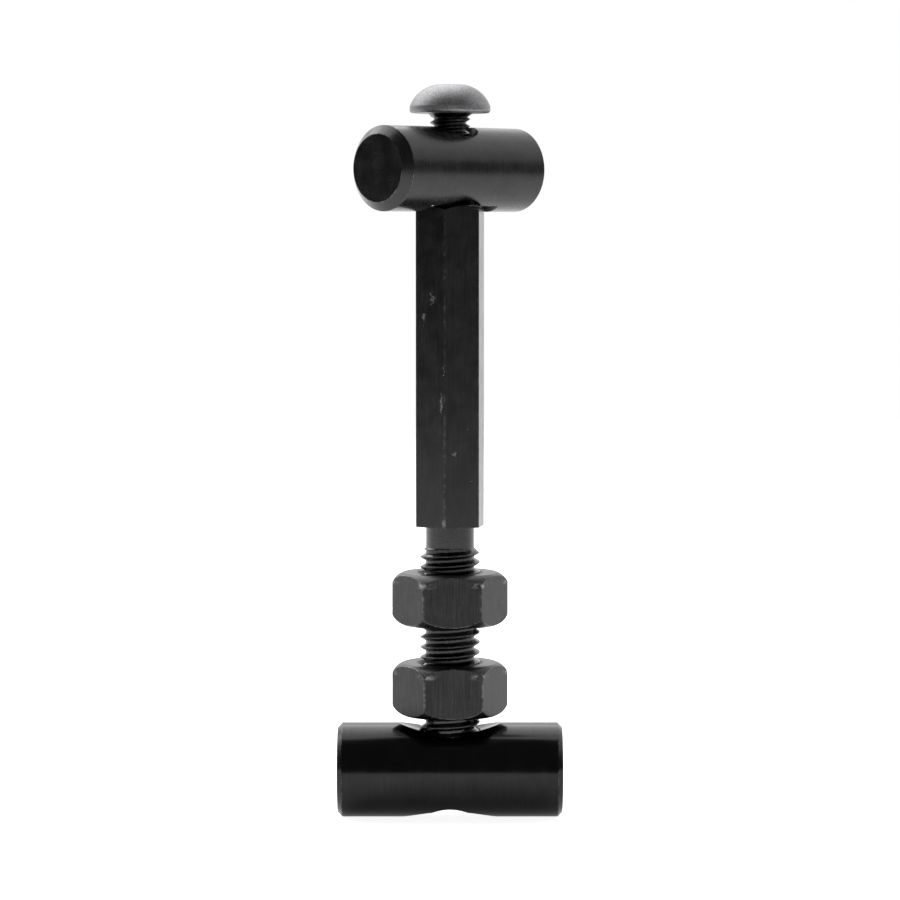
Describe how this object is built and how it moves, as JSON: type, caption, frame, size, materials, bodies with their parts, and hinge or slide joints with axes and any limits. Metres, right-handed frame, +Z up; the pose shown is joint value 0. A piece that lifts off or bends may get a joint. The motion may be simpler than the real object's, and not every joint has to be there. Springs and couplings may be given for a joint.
{
  "type": "adjustable hex post with cross bars",
  "caption": "Threaded hex post between two round cross bars, with nuts on its stud and a button-head screw on top.",
  "frame": {"origin": "lowest point of the lower bar, on the axis of the post", "axes": "+Z up the post, +X along the lower bar"},
  "size_m": [0.0224, 0.0192, 0.0727],
  "materials": {
    "oxide_polished": "gloss",
    "oxide_satin": "satin",
    "oxide_post": "satin",
    "oxide_nut": "satin",
    "oxide_screw": "matte"
  },
  "bodies": {
    "base": {"lower_bar": "oxide_polished"},
    "post": {"hex_post": "oxide_post"},
    "lower_nut": {"lower_nut": "oxide_nut"},
    "upper_nut": {"upper_nut": "oxide_nut"},
    "upper_bar": {"upper_bar": "oxide_satin"},
    "screw": {"button_head_screw": "oxide_screw"}
  },
  "joints": [
    {"name": "post_height", "type": "slide", "parent": "base", "child": "post", "axis": [0, 0, 1], "range_m": [-0.00233, 0.003]},
    {"name": "lower_nut_travel", "type": "slide", "parent": "base", "child": "lower_nut", "axis": [0, 0, 1], "range_m": [-0.00083, 0.00183]},
    {"name": "upper_nut_travel", "type": "slide", "parent": "base", "child": "upper_nut", "axis": [0, 0, 1], "range_m": [-0.00183, 0.00217]},
    {"name": "upper_bar_swivel", "type": "hinge", "parent": "post", "child": "upper_bar", "pos_m": [0, 0, 0.06438], "axis": [0, 0, 1], "continuous": true},
    {"name": "screw_travel", "type": "slide", "parent": "post", "child": "screw", "axis": [0, 0, 1], "range_m": [-0.00128, 0.0028]}
  ]
}
